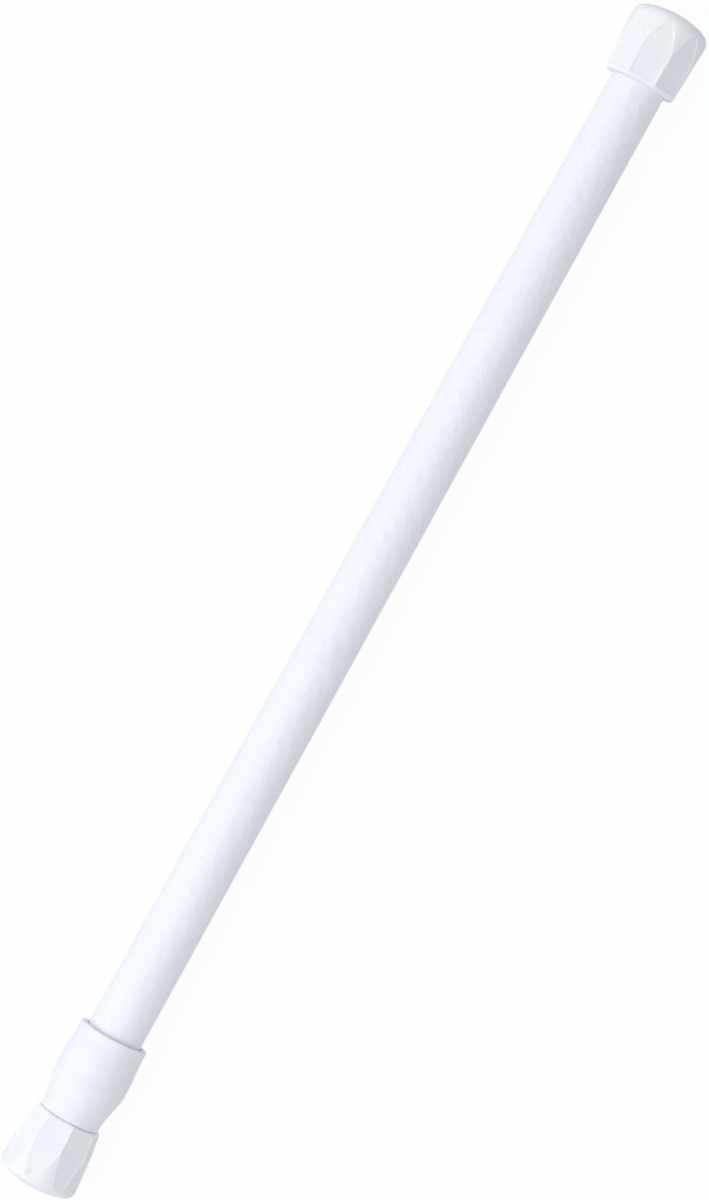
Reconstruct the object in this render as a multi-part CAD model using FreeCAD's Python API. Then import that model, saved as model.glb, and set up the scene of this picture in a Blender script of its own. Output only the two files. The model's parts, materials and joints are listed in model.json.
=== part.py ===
import FreeCAD, Part
import math
import os

# Millimetres. The rod lies along X on its two feet: the outer tube's foot is at -X, the inner tube's at +X.
# It is modelled closed. Everything is built about the X axis and then lifted until the feet stand on Z = 0.

# Whole rod
closed_length = 300.0
spring_stroke_length = 20.0
end_stop_gap = 0.1
sliding_clearance = 0.06

# Tubes
outer_tube_diameter = 13.0
outer_tube_wall = 0.5
inner_tube_gap = 0.6
inner_tube_wall = 0.5

# Feet: a round body cut by eight flats that flare towards a shallow dome
foot_dome_height = 1.7
foot_rim_rounding = 1.0
foot_rim_steps = 2
foot_face_diameter = 5.0
foot_flat_count = 8
foot_mouth_bevel_width = 0.35
outer_foot_length = 17.8
outer_foot_floor_thickness = 3.5
outer_foot_shoulder_length = 6.3
outer_foot_shoulder_wall = 3.02
outer_foot_rim_wall = 2.74
outer_foot_mouth_wall = 1.9
outer_foot_middle_wall = 2.34
outer_foot_face_wall = 2.8
outer_foot_turn_deg = 0.0
inner_foot_length = 17.2
inner_foot_floor_thickness = 3.0
inner_foot_shoulder_length = 9.0
inner_foot_shoulder_wall = 4.0
inner_foot_rim_wall = 3.94
inner_foot_mouth_wall = 1.97
inner_foot_middle_wall = 2.98
inner_foot_face_wall = 4.43
inner_foot_turn_deg = 4.5

# Collar over the outer tube's mouth, from its neck beside the inner foot to its lip
foot_to_collar_gap = 0.4
collar_length = 20.7
collar_neck_length = 1.8
collar_neck_wall = 1.66
collar_flare_length = 6.9
collar_belt_length = 4.0
collar_belt_wall = 2.12
collar_waist_wall = 1.67
collar_lip_width = 1.5
collar_lip_wall = 1.2
collar_mouth_gap = 0.6
collar_mouth_depth = 3.0
collar_stop_thickness = 2.4
collar_spigot_length = 24.0

# Plugs in the foot ends of the tubes
plug_length = 6.5
plug_floor_thickness = 1.6
plug_wall = 1.2

# Twist lock: an eccentric journal in an eccentric cam, with a rubber sleeve that grips the tube
lock_to_plug_gap = 23.9
lock_offset = 0.7
lock_flange_length = 6.0
lock_flange_gap = 0.4
lock_pin_diameter = 1.6
lock_pin_recess_depth = 0.4
cam_length = 8.0
cam_gap = 0.6
cam_core_least_wall = 0.64
cam_bore_clearance = 0.06
cam_end_clearance = 0.1
grip_sleeve_wall = 0.8
washer_lip_width = 1.3
washer_thickness = 0.6
screw_diameter = 2.2
screw_tip_gap = 0.6
screw_head_diameter = 4.6
screw_head_length = 1.6
screw_slot_width = 0.7
screw_slot_depth = 0.7

# End bush in the inner tube's inner end, and the glide ring behind it
lock_to_bush_gap = 1.5
bush_length = 10.0
bush_flange_length = 2.0
bush_flange_gap = 0.35
glide_ring_width = 2.0
glide_ring_thickness = 0.75
glide_ring_split_width = 1.2
glide_ring_clearance = 0.06

# Spindle, with two flats that turn it with the bush
spindle_diameter = 4.0
spindle_across_flats = 3.2
spindle_clearance = 0.06
stud_diameter = 2.5
stud_end_length = 0.6
nut_across_flats = 4.5
nut_length = 1.8

# Spring and its seats
spring_free_length = 64.0
spring_bore_gap = 0.3
spring_turns = 10
runs_per_turn = 10
wire_diameter = 1.0
wire_sides = 6
cup_flange_length = 2.0
cup_bore_gap = 0.3
seat_flange_length = 5.0
seat_boss_length = 3.0
seat_boss_gap = 0.3
seat_pin_diameter = 2.0

# Radii that follow from the tubes
outer_tube_radius = outer_tube_diameter / 2
outer_bore_radius = outer_tube_radius - outer_tube_wall
inner_tube_radius = outer_bore_radius - inner_tube_gap
inner_bore_radius = inner_tube_radius - inner_tube_wall
spigot_bore_radius = inner_tube_radius + sliding_clearance
lock_flange_radius = outer_bore_radius - lock_flange_gap
cam_radius = outer_bore_radius - cam_gap
cam_core_radius = cam_radius - grip_sleeve_wall
cam_bore_radius = cam_core_radius - cam_core_least_wall - lock_offset
journal_radius = cam_bore_radius - cam_bore_clearance
glide_ring_radius = outer_bore_radius - sliding_clearance
ring_seat_radius = glide_ring_radius - glide_ring_thickness - glide_ring_clearance
spring_radius = inner_bore_radius - spring_bore_gap - wire_diameter / 2

# Stations along X: the two ends of the closed rod
outer_face_x = -closed_length / 2
outer_tube_start_x = outer_face_x + outer_foot_floor_thickness
inner_face_x = closed_length / 2
inner_tube_end_x = inner_face_x - inner_foot_floor_thickness
inner_foot_mouth_x = inner_face_x - inner_foot_length

# Stations along X: the collar, from its neck back to the end of its spigot
collar_neck_x = inner_foot_mouth_x - foot_to_collar_gap
collar_mouth_x = collar_neck_x - collar_length
outer_tube_end_x = collar_neck_x - collar_stop_thickness
spigot_end_x = outer_tube_end_x - collar_spigot_length

# Stations along X: the lock, from its screw head to the front of its flange
screw_head_x = outer_tube_start_x + plug_length + lock_to_plug_gap
washer_back_x = screw_head_x + screw_head_length
journal_end_x = washer_back_x + washer_thickness
cam_back_x = journal_end_x + cam_end_clearance
cam_front_x = cam_back_x + cam_length
lock_shoulder_x = cam_front_x + cam_end_clearance
lock_front_x = lock_shoulder_x + lock_flange_length

# Stations along X: the inner tube's inner end, the spring and its seat
bush_back_x = lock_front_x + spring_stroke_length + lock_to_bush_gap
bush_flange_x = bush_back_x + bush_flange_length
inner_tube_start_x = bush_flange_x + glide_ring_width + 2 * glide_ring_clearance
bush_front_x = inner_tube_start_x + bush_length
cup_back_x = bush_front_x + end_stop_gap
cup_front_x = cup_back_x + cup_flange_length
seat_back_x = cup_front_x + spring_free_length
seat_front_x = seat_back_x + seat_flange_length


def cylinder(start_x, end_x, radius, z=0.0):
    """Solid cylinder along X between two stations, raised by z."""
    return Part.makeCylinder(radius, end_x - start_x, FreeCAD.Vector(start_x, 0, z), FreeCAD.Vector(1, 0, 0))


def ring(start_x, end_x, outer_radius, inner_radius):
    return cylinder(start_x, end_x, outer_radius).cut(cylinder(start_x, end_x, inner_radius))


def cross_pin(x, diameter, half_length):
    return Part.makeCylinder(diameter / 2, 2 * half_length, FreeCAD.Vector(x, 0, -half_length))


def revolved(outline):
    """Solid of revolution about X from (x, radius) points."""
    corners = [FreeCAD.Vector(x, r, 0) for x, r in outline]
    face = Part.Face(Part.makePolygon(corners + corners[:1]))
    return face.revolve(FreeCAD.Vector(0, 0, 0), FreeCAD.Vector(1, 0, 0), 360)


def turned(shape, angle_deg):
    """Turn a shape about the rod's axis."""
    shape.rotate(FreeCAD.Vector(0, 0, 0), FreeCAD.Vector(1, 0, 0), angle_deg)
    return shape


def bevel_edges_at(shape, x, size):
    """Bevel the edges that lie in the plane at x."""
    chosen = []
    for edge in shape.Edges:
        box = edge.BoundBox
        if abs(box.XMin - x) < 0.001 and abs(box.XMax - x) < 0.001:
            chosen.append(edge)
    return shape.makeChamfer(size, chosen)


def polygon_about(centre, first, second, radius, sides):
    """Closed regular polygon about a centre, in the plane of two unit directions."""
    corners = []
    for side in range(sides + 1):
        angle = 2 * math.pi * side / sides
        corners.append(centre + first * (radius * math.cos(angle)) + second * (radius * math.sin(angle)))
    return Part.makePolygon(corners)


def two_flat_bar(start_x, end_x, diameter, across_flats):
    corner = FreeCAD.Vector(start_x, -diameter / 2, -across_flats / 2)
    flats = Part.makeBox(end_x - start_x, diameter, across_flats, corner)
    return cylinder(start_x, end_x, diameter / 2).common(flats)


def flared_slab(length, mouth, middle, face):
    """Slab centred on Z = 0 whose half-thickness follows an arc from the foot's mouth to its face."""
    side_y = -2 * face
    stations = ((0.0, mouth), (length / 2, middle), (length, face))
    upper = [FreeCAD.Vector(x, side_y, z) for x, z in stations]
    lower = [FreeCAD.Vector(x, side_y, -z) for x, z in stations]
    outline = Part.Wire([
        Part.Arc(*upper).toShape(), Part.makeLine(upper[2], lower[2]),
        Part.Arc(*reversed(lower)).toShape(), Part.makeLine(lower[0], upper[0])])
    return Part.Face(outline).extrude(FreeCAD.Vector(0, -2 * side_y, 0))


def foot_blank(length, shoulder_length, shoulder_radius, rim_radius):
    """Round foot before its flats are cut: shoulder, taper, stepped rim curve, dome and flat centre."""
    face_radius = foot_face_diameter / 2
    dome_edge_x = length - foot_dome_height
    dome_edge_radius = rim_radius - foot_rim_rounding
    outline = [(0, 0), (0, shoulder_radius), (shoulder_length, shoulder_radius)]
    for step in range(foot_rim_steps + 1):
        angle = math.pi / 2 * step / foot_rim_steps
        outline.append((dome_edge_x - foot_rim_rounding * (1 - math.sin(angle)),
                        dome_edge_radius + foot_rim_rounding * math.cos(angle)))
    dome_radius = (dome_edge_radius ** 2 - face_radius ** 2 + foot_dome_height ** 2) / (2 * foot_dome_height)
    centre_x = length - math.sqrt(dome_radius ** 2 - face_radius ** 2)
    middle_radius = (dome_edge_radius + face_radius) / 2
    outline.append((centre_x + math.sqrt(dome_radius ** 2 - middle_radius ** 2), middle_radius))
    outline += [(length, face_radius), (length, 0)]
    return revolved(outline)


def foot_body(tube_radius, length, flat_walls, shoulder_length, shoulder_wall, rim_wall):
    """Closed foot with its mouth plane at X = 0 and its face at X = length."""
    flat_step = 360.0 / foot_flat_count
    flats = [tube_radius + wall for wall in flat_walls]
    body = flared_slab(length, *flats)
    for step in range(1, foot_flat_count // 2):
        body = body.common(turned(flared_slab(length, *flats), step * flat_step))
    body = bevel_edges_at(body, 0, foot_mouth_bevel_width)
    blank = foot_blank(length, shoulder_length, tube_radius + shoulder_wall, tube_radius + rim_wall)
    return body.common(turned(blank, flat_step / 2))


def make_outer_foot():
    flat_walls = (outer_foot_mouth_wall, outer_foot_middle_wall, outer_foot_face_wall)
    foot = foot_body(outer_tube_radius, outer_foot_length, flat_walls,
                     outer_foot_shoulder_length, outer_foot_shoulder_wall, outer_foot_rim_wall)
    foot.rotate(FreeCAD.Vector(0, 0, 0), FreeCAD.Vector(0, 0, 1), 180)
    mouth_x = outer_face_x + outer_foot_length
    foot.translate(FreeCAD.Vector(mouth_x, 0, 0))
    return turned(foot, outer_foot_turn_deg).cut(cylinder(outer_tube_start_x, mouth_x, outer_tube_radius))


def make_inner_foot():
    flat_walls = (inner_foot_mouth_wall, inner_foot_middle_wall, inner_foot_face_wall)
    foot = foot_body(inner_tube_radius, inner_foot_length, flat_walls,
                     inner_foot_shoulder_length, inner_foot_shoulder_wall, inner_foot_rim_wall)
    foot.translate(FreeCAD.Vector(inner_foot_mouth_x, 0, 0))
    bore = cylinder(inner_foot_mouth_x, inner_tube_end_x, inner_tube_radius)
    return turned(foot, inner_foot_turn_deg).cut(bore)


def make_outer_tube():
    return ring(outer_tube_start_x, outer_tube_end_x, outer_tube_radius, outer_bore_radius)


def make_inner_tube():
    tube = ring(inner_tube_start_x, inner_tube_end_x, inner_tube_radius, inner_bore_radius)
    return tube.cut(make_seat_pin())


def make_collar():
    """Flared collar with its stop for the outer tube's end and the spigot that guides the inner tube."""
    neck_radius = spigot_bore_radius + collar_neck_wall
    belt_radius = outer_tube_radius + collar_belt_wall
    waist_radius = outer_tube_radius + collar_waist_wall
    mouth_bore_radius = outer_tube_radius + collar_mouth_gap
    lip_radius = mouth_bore_radius + collar_lip_wall
    flare_start_x = collar_neck_x - collar_neck_length
    belt_x = flare_start_x - collar_flare_length
    taper_x = belt_x - collar_belt_length
    lip_x = collar_mouth_x + collar_lip_width
    mouth_floor_x = collar_mouth_x + collar_mouth_depth
    return revolved([
        (collar_neck_x, spigot_bore_radius), (collar_neck_x, neck_radius), (flare_start_x, neck_radius),
        (belt_x, belt_radius), (taper_x, belt_radius), (lip_x, waist_radius), (lip_x, lip_radius),
        (collar_mouth_x, lip_radius), (collar_mouth_x, mouth_bore_radius),
        (mouth_floor_x, mouth_bore_radius), (mouth_floor_x, outer_tube_radius),
        (outer_tube_end_x, outer_tube_radius), (outer_tube_end_x, outer_bore_radius),
        (spigot_end_x, outer_bore_radius), (spigot_end_x, spigot_bore_radius)])


def tube_plug(floor_x, towards, bore_radius):
    """Cup-shaped plug with its floor at floor_x and its skirt reaching along X, towards being 1 or -1."""
    skirt_x = floor_x + towards * plug_length
    hollow_x = floor_x + towards * plug_floor_thickness
    body = cylinder(min(floor_x, skirt_x), max(floor_x, skirt_x), bore_radius)
    return body.cut(cylinder(min(hollow_x, skirt_x), max(hollow_x, skirt_x), bore_radius - plug_wall))


def make_glide_ring():
    """Split ring between the bush's flange and the inner tube's end."""
    start_x = bush_flange_x + glide_ring_clearance
    band = ring(start_x, start_x + glide_ring_width, glide_ring_radius,
                glide_ring_radius - glide_ring_thickness)
    corner = FreeCAD.Vector(start_x, -glide_ring_split_width / 2, 0)
    return band.cut(Part.makeBox(glide_ring_width, glide_ring_split_width, outer_bore_radius, corner))


def make_end_bush():
    flange_radius = outer_bore_radius - bush_flange_gap
    body = revolved([
        (bush_back_x, 0), (bush_back_x, flange_radius), (bush_flange_x, flange_radius),
        (bush_flange_x, ring_seat_radius), (inner_tube_start_x, ring_seat_radius),
        (inner_tube_start_x, inner_bore_radius), (bush_front_x, inner_bore_radius), (bush_front_x, 0)])
    return body.cut(two_flat_bar(bush_back_x, bush_front_x, spindle_diameter + 2 * spindle_clearance,
                                 spindle_across_flats + 2 * spindle_clearance))


def make_seat_pin():
    """Cross pin through the middle of the spring seat, flush with the inner tube."""
    pin = cross_pin((seat_back_x + seat_front_x) / 2, seat_pin_diameter, inner_tube_radius)
    return pin.common(cylinder(seat_back_x, seat_front_x, inner_tube_radius))


def make_spring_seat():
    boss_radius = spring_radius - wire_diameter / 2 - seat_boss_gap
    seat = cylinder(seat_back_x, seat_front_x, inner_bore_radius)
    seat = seat.fuse(cylinder(seat_back_x - seat_boss_length, seat_back_x, boss_radius))
    return seat.cut(make_seat_pin())


def make_spring_cup():
    return ring(cup_back_x, cup_front_x, inner_bore_radius - cup_bore_gap, stud_diameter / 2)


def make_spindle_nut():
    corner_radius = nut_across_flats / 2 / math.cos(math.pi / 6)
    centre = FreeCAD.Vector(cup_front_x, 0, 0)
    outline = polygon_about(centre, FreeCAD.Vector(0, 1, 0), FreeCAD.Vector(0, 0, 1), corner_radius, 6)
    nut = Part.Face(outline).extrude(FreeCAD.Vector(nut_length, 0, 0))
    return nut.cut(cylinder(cup_front_x, cup_front_x + nut_length, stud_diameter / 2))


def make_compression_spring():
    """Wire wound on a helix as short straight runs, with both ends ground flat on the cup and the seat."""
    wound_length = spring_free_length + wire_diameter
    run_count = spring_turns * runs_per_turn
    centres = []
    for run in range(run_count + 1):
        angle = 2 * math.pi * run / runs_per_turn
        x = cup_front_x - wire_diameter / 2 + wound_length * run / run_count
        centres.append(FreeCAD.Vector(x, spring_radius * math.cos(angle), spring_radius * math.sin(angle)))
    along = (centres[1] - centres[0]).normalize()
    outward = FreeCAD.Vector(0, 1, 0)
    outward = (outward - along * outward.dot(along)).normalize()
    section = polygon_about(centres[0], outward, along.cross(outward), wire_diameter / 2, wire_sides)
    sharp_corners = 1
    coil = Part.makePolygon(centres).makePipeShell([section], True, False, sharp_corners)
    return coil.common(cylinder(cup_front_x, seat_back_x, inner_bore_radius))


def make_lock_pin():
    middle_x = (lock_front_x + lock_shoulder_x) / 2
    return cross_pin(middle_x, lock_pin_diameter, lock_flange_radius - lock_pin_recess_depth)


def make_spindle():
    stud_end_x = cup_front_x + nut_length + stud_end_length
    shaft = two_flat_bar(lock_shoulder_x, cup_back_x, spindle_diameter, spindle_across_flats)
    return shaft.fuse(cylinder(cup_back_x, stud_end_x, stud_diameter / 2)).cut(make_lock_pin())


def screw_shank():
    return cylinder(washer_back_x, lock_shoulder_x - screw_tip_gap, screw_diameter / 2, lock_offset)


def make_lock_body():
    body = cylinder(lock_shoulder_x, lock_front_x, lock_flange_radius)
    body = body.fuse(cylinder(journal_end_x, lock_shoulder_x, journal_radius, lock_offset))
    body = body.cut(two_flat_bar(lock_shoulder_x, lock_front_x, spindle_diameter, spindle_across_flats))
    return body.cut(make_lock_pin()).cut(screw_shank())


def make_brake_cam():
    core = cylinder(cam_back_x, cam_front_x, cam_core_radius)
    return core.cut(cylinder(cam_back_x, cam_front_x, cam_bore_radius, lock_offset))


def make_grip_sleeve():
    return ring(cam_back_x, cam_front_x, cam_radius, cam_core_radius)


def make_cam_washer():
    washer = cylinder(washer_back_x, journal_end_x, journal_radius + washer_lip_width, lock_offset)
    return washer.cut(screw_shank())


def make_cam_screw():
    head = cylinder(screw_head_x, washer_back_x, screw_head_diameter / 2, lock_offset)
    corner = FreeCAD.Vector(screw_head_x, -screw_slot_width / 2, lock_offset - screw_head_diameter / 2)
    head = head.cut(Part.makeBox(screw_slot_depth, screw_slot_width, screw_head_diameter, corner))
    return head.fuse(screw_shank()).removeSplitter()


pieces = {
    "outer_tube": make_outer_tube(),
    "outer_foot": make_outer_foot(),
    "outer_tube_plug": tube_plug(outer_tube_start_x, 1, outer_bore_radius),
    "collar": make_collar(),
    "glide_ring": make_glide_ring(),
    "inner_tube": make_inner_tube(),
    "inner_foot": make_inner_foot(),
    "inner_tube_plug": tube_plug(inner_tube_end_x, -1, inner_bore_radius),
    "end_bush": make_end_bush(),
    "spring_seat": make_spring_seat(),
    "seat_pin": make_seat_pin(),
    "compression_spring": make_compression_spring(),
    "spring_cup": make_spring_cup(),
    "spindle_nut": make_spindle_nut(),
    "spindle": make_spindle(),
    "lock_body": make_lock_body(),
    "lock_pin": make_lock_pin(),
    "brake_cam": make_brake_cam(),
    "grip_sleeve": make_grip_sleeve(),
    "cam_washer": make_cam_washer(),
    "cam_screw": make_cam_screw(),
}

# Lift the rod until its feet touch Z = 0
feet = (pieces["outer_foot"], pieces["inner_foot"])
axis_height = -min(foot.optimalBoundingBox().ZMin for foot in feet)
os.makedirs("parts", exist_ok=True)
for name, shape in pieces.items():
    shape.translate(FreeCAD.Vector(0, 0, axis_height))
    shape.exportStep("parts/" + name + ".step")
    print(name, "solids", len(shape.Solids), "valid", shape.isValid(), "volume", round(shape.Volume, 2))

# Where the joints are and how far they can go
print("axis height", round(axis_height, 4))
print("the glide ring meets the spigot after", round(spigot_end_x - inner_tube_start_x, 3))
print("the cam wedges at", round(math.degrees(2 * math.asin(cam_gap / (2 * lock_offset))), 2), "degrees")
print("cam middle x", round((cam_back_x + cam_front_x) / 2, 3), "spring", round(cup_front_x, 3),
      round(seat_back_x, 3))
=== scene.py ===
import bpy
import bmesh
import json
import math
from mathutils import Matrix, Vector


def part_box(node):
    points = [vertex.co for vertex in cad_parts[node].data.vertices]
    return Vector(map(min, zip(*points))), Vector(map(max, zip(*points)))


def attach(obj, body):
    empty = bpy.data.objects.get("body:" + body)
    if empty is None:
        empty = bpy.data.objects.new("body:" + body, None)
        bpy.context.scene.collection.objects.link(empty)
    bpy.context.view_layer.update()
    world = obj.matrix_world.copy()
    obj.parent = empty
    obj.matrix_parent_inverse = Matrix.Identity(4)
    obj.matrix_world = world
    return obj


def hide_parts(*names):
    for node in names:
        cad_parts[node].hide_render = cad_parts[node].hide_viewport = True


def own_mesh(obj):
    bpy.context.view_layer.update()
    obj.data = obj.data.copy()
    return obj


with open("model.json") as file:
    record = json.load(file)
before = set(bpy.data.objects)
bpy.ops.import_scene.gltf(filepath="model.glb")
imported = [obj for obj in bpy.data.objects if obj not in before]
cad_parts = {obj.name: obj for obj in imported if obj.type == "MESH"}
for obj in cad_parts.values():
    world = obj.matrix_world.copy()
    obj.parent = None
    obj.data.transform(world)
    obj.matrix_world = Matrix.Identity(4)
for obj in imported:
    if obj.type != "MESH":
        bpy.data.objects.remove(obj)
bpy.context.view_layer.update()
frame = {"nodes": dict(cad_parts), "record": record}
scene = bpy.context.scene
mm = 0.001
print("frame loaded,", len(frame["nodes"]), "nodes")

# the rod's own lines, which every piece below is set to
rod = {
    "axisHeight": 9.341 * mm,
    "outerTubeRadius": 6.5 * mm,
    "outerTubeBore": 6.0 * mm,
    "innerTubeRadius": 5.4 * mm,
    "innerTubeBore": 4.9 * mm,
}


class Sock:
    # one output of a shader node, so that maths on it reads as plain expressions
    def __init__(self, paint, out):
        self.paint = paint
        self.out = out

    def maths(self, operation, first, second):
        return self.paint.node("ShaderNodeMath", {"operation": operation}, {0: first, 1: second})

    def __add__(self, other):
        return self.maths("ADD", self, other)

    def __radd__(self, other):
        return self.maths("ADD", other, self)

    def __mul__(self, other):
        return self.maths("MULTIPLY", self, other)

    def __rmul__(self, other):
        return self.maths("MULTIPLY", other, self)


class Paint:
    # a material or world being mixed: its node tree and the few helpers that every finish uses
    def __init__(self, owner):
        self.owner = owner
        self.tree = owner.node_tree
        self.tree.nodes.clear()

    def node(self, kind, settings=None, inputs=None, outlet=0):
        made = self.tree.nodes.new(kind)
        for key, value in (settings or {}).items():
            setattr(made, key, value)
        for key, value in (inputs or {}).items():
            if isinstance(value, Sock):
                self.tree.links.new(value.out, made.inputs[key])
            else:
                made.inputs[key].default_value = value
        return Sock(self, made.outputs[outlet])

    def noise(self, featureSize, detail=2.0, rough=0.5, stretch=(1.0, 1.0, 1.0)):
        place = self.node("ShaderNodeTexCoord", outlet="Object")
        along = self.node("ShaderNodeMapping", {}, {"Vector": place, "Scale": stretch})
        return self.node("ShaderNodeTexNoise", {}, {
            "Vector": along, "Scale": 1.0 / featureSize, "Detail": detail, "Roughness": rough}, "Fac")

    def between(self, value, low, high):
        # 0 below low, 1 above high, straight in between
        return self.node("ShaderNodeMapRange", {"clamp": True}, {
            "Value": value, "From Min": low, "From Max": high, "To Min": 0.0, "To Max": 1.0}, "Result")

    def vector(self, operation, first, second=(0.0, 0.0, 0.0), outlet="Vector"):
        return self.node("ShaderNodeVectorMath", {"operation": operation}, {0: first, 1: second}, outlet)

    def blendColour(self, factor, first, second):
        # the three inputs of a colour mix are its sockets 0, 6 and 7, and its colour comes out at 2
        return self.node("ShaderNodeMix", {"data_type": "RGBA"}, {0: factor, 6: first, 7: second}, 2)

    def mottled(self, spec, grain, cloud):
        # the finish's two shades, mixed by its fine grain and its wide cloud
        mixed = self.between(cloud, *spec["cloudRange"]) * (1.0 - spec["grainShare"])
        mixed = mixed + self.between(grain, *spec["grainRange"]) * spec["grainShare"]
        return self.blendColour(mixed, spec["shade"], spec["darkShade"])

    def bump(self, height, depth, strength=1.0, under=None):
        links = {"Height": height, "Distance": depth, "Strength": strength}
        if under:
            links["Normal"] = under
        return self.node("ShaderNodeBump", {}, links, "Normal")

    def shell(self, **sockets):
        # the Principled surface; what varies is linked, what is the same all over is set on its socket
        names = {
            "colour": "Base Color", "roughness": "Roughness", "metallic": "Metallic", "normal": "Normal",
            "coat": "Coat Weight", "coatRoughness": "Coat Roughness", "ior": "IOR",
            "softness": "Subsurface Weight", "softRadius": "Subsurface Radius",
            "softScale": "Subsurface Scale",
            "sheen": "Sheen Weight", "sheenRoughness": "Sheen Roughness"}
        inputs = {names[key]: value for key, value in sockets.items()}
        self.finish(self.node("ShaderNodeBsdfPrincipled", {}, inputs, "BSDF"))
        return self.owner

    def finish(self, surface, kind="ShaderNodeOutputMaterial"):
        end = self.tree.nodes.new(kind)
        self.tree.links.new(surface.out, end.inputs["Surface"])


def newPaint(name):
    material = bpy.data.materials.new(name)
    material.use_nodes = True
    return Paint(material)


# camera, at the photograph's angle: above the rod and a little to one side of its middle
cameraSet = {
    "place": (0.0092, 0.020, 0.800),
    "aim": (0.00017, -0.00002, 0.00934),
    "imageUp": (-0.8758, -0.4827, 0.0),
    "lens": 105.65,
    "sensorWidth": 36.0,
    "clipStart": 0.01,
    "clipEnd": 20.0,
}


def makeCamera(spec):
    place = Vector(spec["place"])
    ahead = (Vector(spec["aim"]) - place).normalized()
    up = Vector(spec["imageUp"])
    up = (up - ahead * up.dot(ahead)).normalized()
    right = ahead.cross(up)
    data = bpy.data.cameras.new("camera")
    data.lens = spec["lens"]
    data.sensor_width = spec["sensorWidth"]
    data.dof.use_dof = False
    data.clip_start = spec["clipStart"]
    data.clip_end = spec["clipEnd"]
    made = bpy.data.objects.new("camera", data)
    rows = [(right[i], up[i], -ahead[i], place[i]) for i in range(3)]
    made.matrix_world = Matrix(rows + [(0, 0, 0, 1)])
    scene.collection.objects.link(made)
    scene.camera = made


makeCamera(cameraSet)
print("camera placed")


# white powder coat of the two tubes
coatingLook = {
    "shade": (0.855, 0.888, 0.938, 1.0),
    "darkShade": (0.79, 0.823, 0.878, 1.0),
    "grain": 0.45 * mm,
    "grainRange": (0.52, 0.74),
    "grainShare": 0.75,
    "grainDepth": 0.022 * mm,
    "cloud": 14.0 * mm,
    "cloudRange": (0.35, 0.75),
    "peel": 2.2 * mm,
    "peelDepth": 0.32 * mm,
    "roughness": 0.46,
    "roughnessSpan": 0.12,
    "coat": 0.05,
    "coatSpan": 0.1,
    "coatRoughness": 0.35,
    "ior": 1.48,
}


def powderCoat(spec):
    paint = newPaint("whitePowderCoat")
    grain = paint.noise(spec["grain"], detail=3.0, rough=0.6)
    orangePeel = paint.noise(spec["peel"], rough=0.45)
    cloud = paint.noise(spec["cloud"], detail=3.0)
    normal = paint.bump(orangePeel, spec["peelDepth"])
    normal = paint.bump(grain, spec["grainDepth"], strength=0.7, under=normal)
    return paint.shell(colour=paint.mottled(spec, grain, cloud), normal=normal,
                       roughness=spec["roughness"] + orangePeel * spec["roughnessSpan"], ior=spec["ior"],
                       coat=spec["coat"] + cloud * spec["coatSpan"], coatRoughness=spec["coatRoughness"])


# soft, slightly translucent plastic of the two feet
softPlasticLook = {
    "shade": (0.872, 0.902, 0.952, 1.0),
    "darkShade": (0.815, 0.848, 0.90, 1.0),
    "grain": 0.3 * mm,
    "grainRange": (0.5, 0.8),
    "grainShare": 0.4,
    "grainDepth": 0.03 * mm,
    "cloud": 5.0 * mm,
    "cloudRange": (0.3, 0.8),
    "drag": 1.4 * mm,
    "dragStretch": (0.25, 1.0, 1.0),
    "dragDepth": 0.09 * mm,
    "mark": (145.69 * mm, -1.74 * mm, 18.37 * mm),
    "markStretch": (0.45, 1.0, 1.0),
    "markSize": 0.45 * mm,
    "markCore": 0.3,
    "markDepth": 0.2 * mm,
    # the darker colour painted into the dent's core, a painted shade standing in for the shade that falls in
    # the dent
    "dentPaintedShade": (0.76, 0.79, 0.85, 1.0),
    "roughness": 0.5,
    "roughnessSpan": 0.16,
    "ior": 1.47,
    "softness": 0.6,
    "softRadius": (1.0, 0.96, 0.94),
    "softScale": 0.9 * mm,
}


def softPlastic(spec):
    paint = newPaint("softFootPlastic")
    grain = paint.noise(spec["grain"], rough=0.55)
    cloud = paint.noise(spec["cloud"], detail=3.0, rough=0.55)
    # faint marks of the mould's polishing
    drag = paint.noise(spec["drag"], stretch=spec["dragStretch"])
    # a small dent near the lower foot's face, 0 in its core and 1 outside it; the same mask paints the core
    # darker, as painted shade in the dent
    place = paint.node("ShaderNodeTexCoord", outlet="Object")
    away = paint.vector("MULTIPLY", paint.vector("SUBTRACT", place, spec["mark"]), spec["markStretch"])
    distance = paint.vector("LENGTH", away, outlet="Value")
    dent = paint.between(distance, spec["markSize"] * spec["markCore"], spec["markSize"])
    # painted shade: the dent's core takes the darker colour, mixed over the mottled plastic
    colour = paint.blendColour(dent, spec["dentPaintedShade"], paint.mottled(spec, grain, cloud))
    normal = paint.bump(drag, spec["dragDepth"], strength=0.6)
    normal = paint.bump(dent, spec["markDepth"], strength=0.8, under=normal)
    normal = paint.bump(grain, spec["grainDepth"], strength=0.8, under=normal)
    return paint.shell(colour=colour, normal=normal,
                       roughness=spec["roughness"] + cloud * spec["roughnessSpan"], ior=spec["ior"],
                       softness=spec["softness"], softRadius=spec["softRadius"],
                       softScale=spec["softScale"])


# harder moulded plastic of the collar
collarLook = {
    "shade": (0.855, 0.888, 0.938, 1.0),
    "darkShade": (0.80, 0.833, 0.887, 1.0),
    "grain": 0.35 * mm,
    "grainRange": (0.5, 0.8),
    "grainShare": 0.35,
    "grainDepth": 0.01 * mm,
    "cloud": 6.0 * mm,
    "cloudRange": (0.3, 0.8),
    "flow": 2.2 * mm,
    "flowStretch": (0.3, 1.0, 1.0),
    "flowDepth": 0.16 * mm,
    "roughness": 0.42,
    "roughnessSpan": 0.14,
    "ior": 1.49,
    "softness": 0.45,
    "softRadius": (1.0, 0.96, 0.94),
    "softScale": 0.8 * mm,
}


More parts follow.
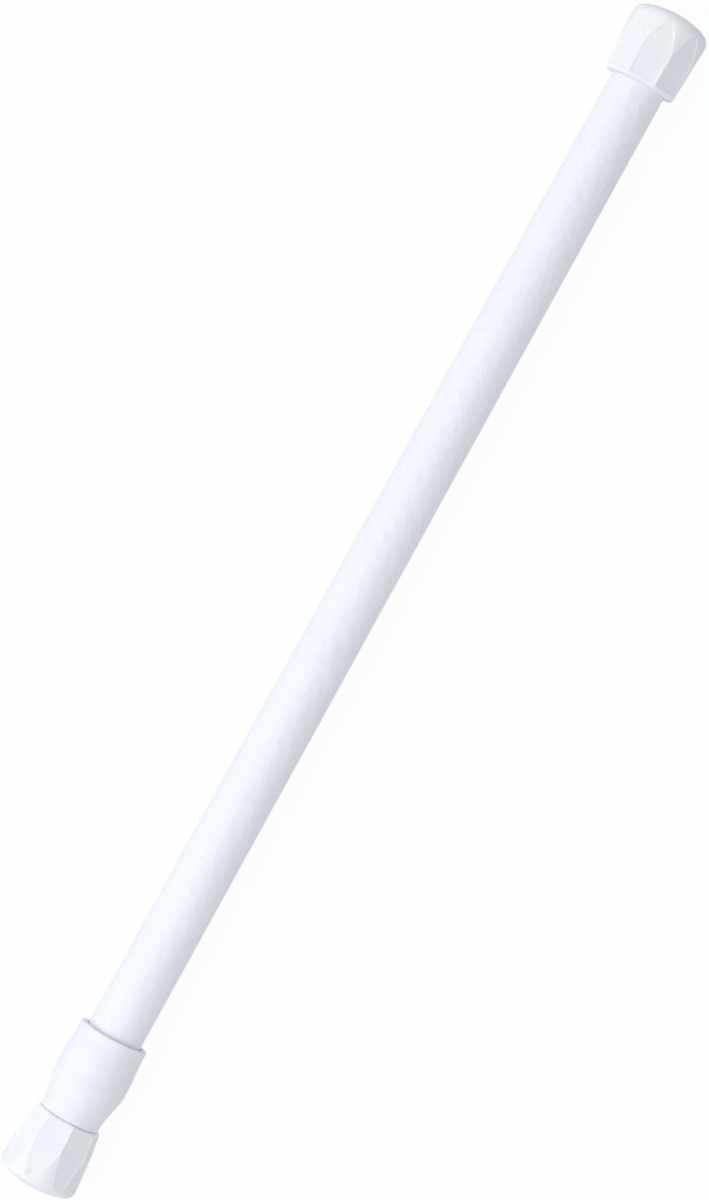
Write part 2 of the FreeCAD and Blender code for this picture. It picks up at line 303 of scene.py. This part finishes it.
def collarPlastic(spec):
    paint = newPaint("collarPlastic")
    grain = paint.noise(spec["grain"])
    cloud = paint.noise(spec["cloud"], detail=3.0)
    # faint streaks along the way that the plastic flowed
    flow = paint.noise(spec["flow"], stretch=spec["flowStretch"])
    normal = paint.bump(flow, spec["flowDepth"], strength=0.6)
    normal = paint.bump(grain, spec["grainDepth"], strength=0.7, under=normal)
    return paint.shell(colour=paint.mottled(spec, grain, cloud), normal=normal,
                       roughness=spec["roughness"] + cloud * spec["roughnessSpan"], ior=spec["ior"],
                       softness=spec["softness"], softRadius=spec["softRadius"],
                       softScale=spec["softScale"])


# plastics of the pieces inside
plainSet = {
    "grain": 0.3 * mm, "grainDepth": 0.01 * mm, "cloud": 4.0 * mm, "cloudRange": (0.3, 0.8),
    "roughnessSpan": 0.12, "ior": 1.5,
    "softness": 0.08, "softRadius": (1.0, 0.9, 0.8), "softScale": 0.5 * mm,
}
greyLook = {"shade": (0.58, 0.60, 0.64, 1.0), "darkShade": (0.52, 0.54, 0.58, 1.0), "roughness": 0.42}
nylonLook = {"shade": (0.76, 0.74, 0.66, 1.0), "darkShade": (0.70, 0.675, 0.59, 1.0), "roughness": 0.34}


def plainPlastic(name, look):
    paint = newPaint(name)
    grain = paint.noise(plainSet["grain"])
    cloud = paint.noise(plainSet["cloud"], detail=3.0)
    mixed = paint.between(cloud, *plainSet["cloudRange"])
    return paint.shell(colour=paint.blendColour(mixed, look["shade"], look["darkShade"]),
                       normal=paint.bump(grain, plainSet["grainDepth"], strength=0.7),
                       roughness=look["roughness"] + cloud * plainSet["roughnessSpan"], ior=plainSet["ior"],
                       softness=plainSet["softness"], softRadius=plainSet["softRadius"],
                       softScale=plainSet["softScale"])


# rubber of the sleeve that grips the tube
rubberLook = {
    "shade": (0.018, 0.018, 0.019, 1.0), "darkShade": (0.035, 0.034, 0.033, 1.0),
    "grain": 0.25 * mm, "grainDepth": 0.02 * mm, "cloud": 3.0 * mm, "cloudRange": (0.35, 0.7),
    "roughness": 0.72, "roughnessSpan": 0.15, "sheen": 0.15, "sheenRoughness": 0.5,
}


def gripRubber(spec):
    paint = newPaint("gripRubber")
    grain = paint.noise(spec["grain"], detail=3.0, rough=0.6)
    cloud = paint.noise(spec["cloud"])
    mixed = paint.between(cloud, *spec["cloudRange"])
    return paint.shell(colour=paint.blendColour(mixed, spec["shade"], spec["darkShade"]),
                       normal=paint.bump(grain, spec["grainDepth"], strength=0.8),
                       roughness=spec["roughness"] + cloud * spec["roughnessSpan"],
                       sheen=spec["sheen"], sheenRoughness=spec["sheenRoughness"])


# metals of the pieces inside: turned and plated, or drawn to wire
metalSet = {
    "grain": 0.25 * mm, "grainDepth": 0.006 * mm, "grainSpan": 0.14,
    "cloud": 2.5 * mm, "cloudRange": (0.3, 0.75), "cloudSpan": 0.08,
}
zincLook = {
    "shade": (0.62, 0.63, 0.66, 1.0), "darkShade": (0.52, 0.54, 0.58, 1.0), "roughness": 0.24,
    "stretch": (0.15, 1.0, 1.0),
}
wireLook = {
    "shade": (0.36, 0.36, 0.38, 1.0), "darkShade": (0.24, 0.24, 0.26, 1.0), "roughness": 0.28,
    "stretch": (1.0, 1.0, 1.0),
}


def metal(name, look):
    paint = newPaint(name)
    grain = paint.noise(metalSet["grain"], detail=3.0, rough=0.6, stretch=look["stretch"])
    cloud = paint.noise(metalSet["cloud"], detail=3.0, rough=0.55)
    mixed = paint.between(cloud, *metalSet["cloudRange"])
    roughness = look["roughness"] + grain * metalSet["grainSpan"] + cloud * metalSet["cloudSpan"]
    return paint.shell(colour=paint.blendColour(mixed, look["shade"], look["darkShade"]), metallic=1.0,
                       normal=paint.bump(grain, metalSet["grainDepth"], strength=0.7), roughness=roughness)


# one finish for each material slot that the frame names
finishes = {
    "white_coating": powderCoat(coatingLook),
    "soft_white": softPlastic(softPlasticLook),
    "collar_plastic": collarPlastic(collarLook),
    "inner_plastic": plainPlastic("greyPlastic", greyLook),
    "nylon": plainPlastic("nylon", nylonLook),
    "grip_rubber": gripRubber(rubberLook),
    "zinc_steel": metal("zincPlatedSteel", zincLook),
    "spring_steel": metal("springWire", wireLook),
}
print("finishes mixed")


# points closer than this are one point
weldDistance = 0.0005 * mm


def makePiece(name, points, faces, body, slot, nodes, sharpAngle=32.0):
    # one named mesh in the shared frame, on its body, in place of its nodes
    shaped = bmesh.new()
    corners = [shaped.verts.new(point) for point in points]
    for face in faces:
        shaped.faces.new([corners[index] for index in face])
    bmesh.ops.remove_doubles(shaped, verts=shaped.verts, dist=weldDistance)
    bmesh.ops.recalc_face_normals(shaped, faces=shaped.faces)
    mesh = bpy.data.meshes.new(name)
    shaped.to_mesh(mesh)
    shaped.free()
    mesh.shade_smooth()
    mesh.set_sharp_from_angle(angle=math.radians(sharpAngle))
    mesh.materials.append(finishes[slot])
    made = bpy.data.objects.new(name, mesh)
    scene.collection.objects.link(made)
    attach(made, body)
    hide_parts(*nodes)
    print(name, "made,", len(mesh.vertices), "points")
    return made


def bandFaces(row, nextRow, count):
    # the ring of four-sided faces between two rows of count points each
    faces = []
    for step in range(count):
        onward = (step + 1) % count
        faces.append((row * count + step, row * count + onward,
                      nextRow * count + onward, nextRow * count + step))
    return faces


def roundCorners(corners, steps):
    # a closed outline of (x, radius, rounding) with each corner turned into an arc
    rounded = []
    for index, (x, radius, size) in enumerate(corners):
        here = Vector((x, radius))
        if not size:
            rounded.append(here)
            continue
        back = (Vector(corners[index - 1][:2]) - here).normalized()
        onward = (Vector(corners[(index + 1) % len(corners)][:2]) - here).normalized()
        half = back.angle(onward) / 2
        reach = size / math.tan(half)
        centre = here + (back + onward).normalized() * (size / math.sin(half))
        first, last = here + back * reach - centre, here + onward * reach - centre
        for step in range(steps + 1):
            rounded.append(centre + first.lerp(last, step / steps).normalized() * size)
    return rounded


def splitLongRuns(outline, longest):
    # shorter faces along a long straight run
    split = []
    for index, here in enumerate(outline):
        onward = outline[(index + 1) % len(outline)]
        parts = max(1, math.ceil((onward - here).length / longest))
        for part in range(parts):
            split.append(here.lerp(onward, part / parts))
    return split


def turnOutline(outline, segments):
    # revolve a closed (x, radius) outline about the rod's axis
    points, faces = [], []
    for x, radius in outline:
        for step in range(segments):
            angle = 2 * math.pi * step / segments
            points.append((x, radius * math.sin(angle), rod["axisHeight"] + radius * math.cos(angle)))
    for row in range(len(outline)):
        faces += bandFaces(row, (row + 1) % len(outline), segments)
    return points, faces


# tubes: thin rolled steel, their cut ends turned smooth
tubeSet = {"edge": 0.12 * mm, "edgeSteps": 3, "longest": 8.0 * mm}
outerTubeSet = {"radius": rod["outerTubeRadius"], "bore": rod["outerTubeBore"], "segments": 144}
innerTubeSet = {"radius": rod["innerTubeRadius"], "bore": rod["innerTubeBore"], "segments": 128}


def makeTube(name, node, body, spec):
    start, end = (corner.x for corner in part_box(node))
    edge = tubeSet["edge"]
    outline = roundCorners([
        (start, spec["radius"], edge), (end, spec["radius"], edge),
        (end, spec["bore"], edge), (start, spec["bore"], edge)], tubeSet["edgeSteps"])
    points, faces = turnOutline(splitLongRuns(outline, tubeSet["longest"]), spec["segments"])
    makePiece(name, points, faces, body, "white_coating", [node])


makeTube("outerTubeSkin", "outer_tube", "outer", outerTubeSet)


# collar: neck, flare, belt and waist, with the turned lip round its mouth
collarSet = {
    "length": 20.7 * mm, "segments": 160, "longest": 1.5 * mm, "roundSteps": 6,
    "neckReach": 0.26 * mm, "neckRadius": 7.12 * mm, "neckLength": 1.8 * mm, "neckRound": 0.3 * mm,
    "flareLength": 6.9 * mm, "flareRound": 3.0 * mm,
    "beltRadius": 8.62 * mm, "beltLength": 4.0 * mm, "beltRound": 1.8 * mm, "taperRound": 3.0 * mm,
    "waistRadius": 8.17 * mm, "waistRound": 5.0 * mm,
    "lipRadius": 8.24 * mm, "lipWidth": 2.2 * mm, "lipRound": 0.35 * mm,
    "mouthBore": 6.86 * mm, "mouthDepth": 1.0 * mm, "mouthRound": 0.25 * mm, "mouthFloorRound": 0.15 * mm,
    "stopThickness": 2.4 * mm,
    "spigotBore": 5.46 * mm, "spigotRound": 0.3 * mm, "boreRound": 0.1 * mm,
}


def makeCollar(spec):
    spigotEnd, neck = (corner.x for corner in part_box("collar"))
    tubeEnd = neck - spec["stopThickness"]
    neckEnd = neck + spec["neckReach"]
    mouth = neck - spec["length"]
    flare = neck - spec["neckLength"]
    belt = flare - spec["flareLength"]
    taper = belt - spec["beltLength"]
    waist = mouth + spec["lipWidth"]
    mouthFloor = mouth + spec["mouthDepth"]
    outline = roundCorners([
        (neckEnd, spec["spigotBore"], spec["boreRound"]),
        (neckEnd, spec["neckRadius"], spec["neckRound"]),
        (flare, spec["neckRadius"], spec["flareRound"]),
        (belt, spec["beltRadius"], spec["beltRound"]),
        (taper, spec["beltRadius"], spec["taperRound"]),
        (waist, spec["waistRadius"], spec["waistRound"]),
        (mouth, spec["lipRadius"], spec["lipRound"]),
        (mouth, spec["mouthBore"], spec["mouthRound"]),
        (mouthFloor, spec["mouthBore"], spec["mouthFloorRound"]),
        (mouthFloor, rod["outerTubeRadius"], 0),
        (tubeEnd, rod["outerTubeRadius"], 0),
        (tubeEnd, rod["outerTubeBore"], 0),
        (spigotEnd, rod["outerTubeBore"], spec["spigotRound"]),
        (spigotEnd, spec["spigotBore"], spec["spigotRound"])], spec["roundSteps"])
    points, faces = turnOutline(splitLongRuns(outline, spec["longest"]), spec["segments"])
    makePiece("collarSkin", points, faces, "outer", "collar_plastic", ["collar"])


makeCollar(collarSet)


# feet: soft caps with eight sunk flats, which flare out and close in pointed arches below the domed face;
# x runs from a foot's mouth to its face, and angles are in degrees, apart from leastEdge in radians
footSet = {
    "flats": 8, "domeSlope": 20.0, "leanReach": 4.0 * mm, "sharpAngle": 40.0,
    "sinkWidth": 0.32 * mm, "edgeSoftness": 0.06 * mm, "seam": 0.01 * mm, "leastEdge": 0.02,
    "mouthRows": 8, "sideRows": 60, "rimRows": 14, "domeRows": 14, "shapedDomeRows": 7,
    "floorShares": (0.0, 0.5, 1.0), "boreShares": (0.75, 0.5, 0.25, 0.05), "plainEdgeShare": 0.9,
    # where the columns of points stand in half a flat's sector: over the flat, then over the ridge beside it
    "flatShares": (0.0, 0.18, 0.36, 0.52, 0.66, 0.78, 0.86, 0.92, 0.965, 1.0),
    "ridgeShares": (0.2, 0.45, 0.72, 1.0),
}
sector = math.pi / footSet["flats"]      # half of one flat's share of the round
outerFootSet = {
    "length": 17.8 * mm, "floor": 3.5 * mm, "bore": rod["outerTubeRadius"], "towards": -1,
    "turn": 0.0, "skew": 0.0, "lean": 4.5,
    "mouthRound": 0.9 * mm, "rimRound": 2.6 * mm, "ridgeWidth": 0.36 * mm, "sink": 0.16 * mm,
    "shoulderLength": 6.3 * mm, "shoulderRadius": 9.52 * mm, "rimRadius": 9.24 * mm,
    "flats": (8.4 * mm, 8.92 * mm, 9.5 * mm),
}
innerFootSet = {
    "length": 17.3 * mm, "floor": 3.0 * mm, "bore": rod["innerTubeRadius"], "towards": 1,
    "turn": 7.0, "skew": 0.3, "lean": 0.0,
    "mouthRound": 0.8 * mm, "rimRound": 1.8 * mm, "ridgeWidth": 0.26 * mm, "sink": 0.11 * mm,
    "shoulderLength": 7.9 * mm, "shoulderRadius": 8.96 * mm, "rimRadius": 9.34 * mm,
    "flats": (7.37 * mm, 8.56 * mm, 9.64 * mm),
}


def smoothStep(value):
    # 0 to 1 with a level start and end
    value = min(max(value, 0.0), 1.0)
    return value * value * (3 - 2 * value)


def softMin(first, second, softness):
    # the lesser of two values, blended where they are closer than softness
    near = max(softness - abs(first - second), 0.0) / softness
    return min(first, second) - near * near * softness / 4


def flatReach(x, spec):
    # half the distance across flats, on a curve through its value at the mouth, middle and face
    mouth, middle, face = spec["flats"]
    share = x / spec["length"]
    rise = (4 * middle - 3 * mouth - face) * share
    bend = (2 * face + 2 * mouth - 4 * middle) * share ** 2
    return mouth + rise + bend


def columnAngles(edge):
    # from the middle of a flat over its edge to the middle of the ridge beside it
    overFlat = [edge * share for share in footSet["flatShares"]]
    return overFlat + [edge + (sector - edge) * share for share in footSet["ridgeShares"]]


def footRow(x, blankRadius, spec):
    # half a sector of the foot at x, as (angle, radius)
    reach = flatReach(x, spec)
    ridge = spec["ridgeWidth"] / 2 / blankRadius
    edge = math.acos(min(reach / blankRadius, 1.0)) if reach < blankRadius else 0.0
    edge = min(max(edge, footSet["leastEdge"]), sector - ridge)
    row = []
    for angle in columnAngles(edge):
        inside = (math.tan(edge) - math.tan(angle)) * reach
        inside = min(inside, x - spec["mouthRound"])
        sunk = spec["sink"] * smoothStep(inside / footSet["sinkWidth"])
        onFlat = reach / math.cos(min(angle, sector - ridge))
        radius = softMin(onFlat, blankRadius, footSet["edgeSoftness"]) - sunk
        if x < spec["mouthRound"]:
            lost = spec["mouthRound"] - x
            radius -= spec["mouthRound"] - math.sqrt(max(spec["mouthRound"] ** 2 - lost ** 2, 0.0))
        row.append((angle, radius))
    return row


def footSection(x, blankRadius, spec, shaped):
    # the whole ring of points at x, sector by sector and mirrored about each flat's middle
    if shaped:
        half = footRow(x, blankRadius, spec)
    else:
        half = [(angle, blankRadius) for angle in columnAngles(sector * footSet["plainEdgeShare"])]
    section = [(-angle, radius) for angle, radius in half[-2:0:-1]] + half
    ringed = []
    for flat in range(footSet["flats"]):
        middle = 2 * math.pi * flat / footSet["flats"] + math.radians(spec["turn"])
        ringed += [(middle + angle, radius) for angle, radius in section]
    return ringed


def footOutline(spec):
    # rows of (x, radius, shaped) from the middle of the bore's floor, out of the mouth, over the side
    # and in to the middle of the face; a shaped row has the flats in it
    length, floor, mouth = spec["length"], spec["length"] - spec["floor"], spec["mouthRound"]
    slope, rim = math.radians(footSet["domeSlope"]), spec["rimRound"]
    domeRadius = spec["rimRadius"] - rim * (1 - math.sin(slope))
    ball = domeRadius / math.sin(slope)
    sideEnd = length - ball * (1 - math.cos(slope)) - rim * math.cos(slope)
    rows = [(floor, spec["bore"] * share, False) for share in footSet["floorShares"]]
    rows += [(floor * share, spec["bore"], False) for share in footSet["boreShares"]]
    rows.append((0.0, spec["bore"] + footSet["seam"], False))      # the mouth's inner edge
    for step in range(footSet["mouthRows"], -1, -1):
        x = mouth * (1 - math.sin(math.pi / 2 * step / footSet["mouthRows"]))
        rows.append((x, spec["shoulderRadius"], True))
    for step in range(1, footSet["sideRows"] + 1):
        x = mouth + (sideEnd - mouth) * step / footSet["sideRows"]
        taper = max(x - spec["shoulderLength"], 0.0) / (sideEnd - spec["shoulderLength"])
        radius = spec["shoulderRadius"] + (spec["rimRadius"] - spec["shoulderRadius"]) * taper
        rows.append((x, radius, True))
    for step in range(1, footSet["rimRows"] + 1):
        angle = (math.pi / 2 - slope) * step / footSet["rimRows"]
        radius = spec["rimRadius"] - rim * (1 - math.cos(angle))
        rows.append((sideEnd + rim * math.sin(angle), radius, True))
    for step in range(1, footSet["domeRows"] + 1):
        radius = domeRadius * (1 - step / footSet["domeRows"])
        x = length - ball + math.sqrt(ball ** 2 - radius ** 2)
        rows.append((x, radius, step <= footSet["shapedDomeRows"]))
    return rows


def makeFoot(name, node, body, spec):
    # the face's place in the frame, to 0.01 mm
    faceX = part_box(node)[0].x if spec["towards"] < 0 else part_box(node)[1].x
    faceX = round(faceX / mm, 2) * mm
    skewMiddle = Vector((faceX - spec["towards"] * spec["length"] / 2, 0, rod["axisHeight"]))
    skewed = Matrix.Rotation(math.radians(-spec["skew"]), 3, "Z")
    lean = math.tan(math.radians(spec["lean"]))
    floorEnd = spec["length"] - spec["floor"] + footSet["seam"]
    points, faces = [], []
    rows = footOutline(spec)
    for x, blank, shaped in rows:
        section = footSection(x, blank, spec, shaped)
        for angle, radius in section:
            # the mouth leans along the rod, and the lean fades out within leanReach
            rise = radius * math.cos(angle)
            leaned = x - rise * lean * (1 - smoothStep(x / footSet["leanReach"]))
            point = Vector((faceX + spec["towards"] * (leaned - spec["length"]), -radius * math.sin(angle),
                            rod["axisHeight"] + rise))
            # the bore stays straight on its tube while the skin round it is skewed
            inBore = radius < spec["bore"] + 2 * footSet["seam"] and x < floorEnd
            points.append(point if inBore else skewMiddle + skewed @ (point - skewMiddle))
    for row in range(len(rows) - 1):
        faces += bandFaces(row, row + 1, len(section))
    makePiece(name, points, faces, body, "soft_white", [node], footSet["sharpAngle"])


makeFoot("outerFootSkin", "outer_foot", "outer", outerFootSet)
makeFoot("innerFootSkin", "inner_foot", "inner", innerFootSet)

# the inner tube is in view when the rod is drawn out to a window's width
makeTube("innerTubeSkin", "inner_tube", "inner", innerTubeSet)


# spring: round wire, both ends ground flat
springSet = {
    "start": -61.98 * mm, "end": 2.02 * mm, "coilRadius": 4.1 * mm, "wireRadius": 0.5 * mm,
    "turns": 10, "stepsPerTurn": 40, "sides": 12, "travel": 20.0 * mm, "sharpAngle": 50.0,
}


def makeSpring(spec):
    wire, sides = spec["wireRadius"], spec["sides"]
    wound = spec["end"] - spec["start"] + 2 * wire
    slope = math.atan(wound / spec["turns"] / (2 * math.pi * spec["coilRadius"]))
    count = spec["turns"] * spec["stepsPerTurn"]
    points, faces = [], []
    for step in range(count + 1):
        angle = 2 * math.pi * step / spec["stepsPerTurn"]
        x = spec["start"] - wire + wound * step / count
        outward = Vector((0, math.cos(angle), math.sin(angle)))
        across = Vector((math.cos(slope), math.sin(slope) * math.sin(angle),
                         -math.sin(slope) * math.cos(angle)))
        middle = Vector((x, 0, rod["axisHeight"])) + outward * spec["coilRadius"]
        for side in range(sides):
            spin = 2 * math.pi * side / sides
            point = middle + outward * (wire * math.cos(spin)) + across * (wire * math.sin(spin))
            point.x = min(max(point.x, spec["start"]), spec["end"])
            points.append(point)
    for step in range(count):
        faces += bandFaces(step, step + 1, sides)
    faces += [tuple(range(sides)), tuple(range(count * sides, (count + 1) * sides))]
    made = makePiece("springWire", points, faces, "inner", "spring_steel", ["compression_spring"],
                     spec["sharpAngle"])
    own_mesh(made)


makeSpring(springSet)

# the nodes that keep their CAD shape take their finishes
replaced = {"outer_tube", "collar", "outer_foot", "inner_foot", "inner_tube", "compression_spring"}
slots = {part["node"]: part["material_slot"] for part in frame["record"]["subparts"]}
for name, node in frame["nodes"].items():
    if name not in replaced:
        node.data.materials.clear()
        node.data.materials.append(finishes[slots[name]])
print("kept nodes dressed")


# floor: lit like paper by the lamps, and near white to the camera
floorSet = {
    "size": 3.0, "shade": (0.85, 0.85, 0.875, 1.0),
    "glow": (1.0, 1.0, 1.0, 1.0), "whiteShare": 0.95,
}


def makeFloor(spec):
    half = spec["size"] / 2
    corners = [(-half, -half, 0), (half, -half, 0), (half, half, 0), (-half, half, 0)]
    mesh = bpy.data.meshes.new("floor")
    mesh.from_pydata(corners, [], [(0, 1, 2, 3)])
    paint = newPaint("paleFloor")
    camera, glossy, through = (paint.node("ShaderNodeLightPath", outlet=kind) for kind in (
        "Is Camera Ray", "Is Glossy Ray", "Is Transmission Ray"))
    seen = paint.node("ShaderNodeMath", {"operation": "MAXIMUM"}, {0: camera, 1: glossy})
    seen = paint.node("ShaderNodeMath", {"operation": "MAXIMUM"}, {0: seen, 1: through})
    matt = paint.node("ShaderNodeBsdfDiffuse", {}, {"Color": spec["shade"]})
    glow = paint.node("ShaderNodeEmission", {}, {"Color": spec["glow"], "Strength": 1.0})
    paint.finish(paint.node("ShaderNodeMixShader", {}, {0: seen * spec["whiteShare"], 1: matt, 2: glow}))
    mesh.materials.append(paint.owner)
    made = bpy.data.objects.new("floor", mesh)
    scene.collection.objects.link(made)


makeFloor(floorSet)


# studio lamps, each a square turned to the rod's middle
lightSet = {
    "key": {"place": (0.5, -0.8, 0.9), "size": 1.0, "power": 4.5},
    "top": {"place": (0.5, -0.15, 1.1), "size": 1.0, "power": 4.4},
    "side": {"place": (-0.5, -0.8, 0.9), "size": 1.0, "power": 3.65},
    "low": {"place": (0.1, 1.3, 0.14), "size": 0.6, "power": 1.4},
}


def makeLight(name, spec):
    data = bpy.data.lights.new(name, "AREA")
    data.shape = "SQUARE"
    data.size = spec["size"]
    data.energy = spec["power"]
    made = bpy.data.objects.new(name, data)
    made.location = spec["place"]
    made.rotation_euler = (-Vector(spec["place"])).to_track_quat("-Z", "Y").to_euler()
    scene.collection.objects.link(made)


for name, spec in lightSet.items():
    makeLight(name, spec)


# world: a fill light for the rod, and a pale backdrop past the floor's edge
worldSet = {"fill": (0.98, 0.978, 1.008, 1.0), "strength": 0.475, "backdrop": (0.984, 0.984, 0.986, 1.0)}


def makeWorld(spec):
    world = bpy.data.worlds.new("studio")
    scene.world = world
    world.use_nodes = True
    paint = Paint(world)
    seen = paint.node("ShaderNodeLightPath", outlet="Is Camera Ray")
    fill = paint.node("ShaderNodeBackground", {}, {"Color": spec["fill"], "Strength": spec["strength"]})
    pale = paint.node("ShaderNodeBackground", {}, {"Color": spec["backdrop"], "Strength": 1.0})
    surface = paint.node("ShaderNodeMixShader", {}, {0: seen, 1: fill, 2: pale})
    paint.finish(surface, "ShaderNodeOutputWorld")


makeWorld(worldSet)
scene.view_settings.view_transform = "Standard"
print("stage lit")
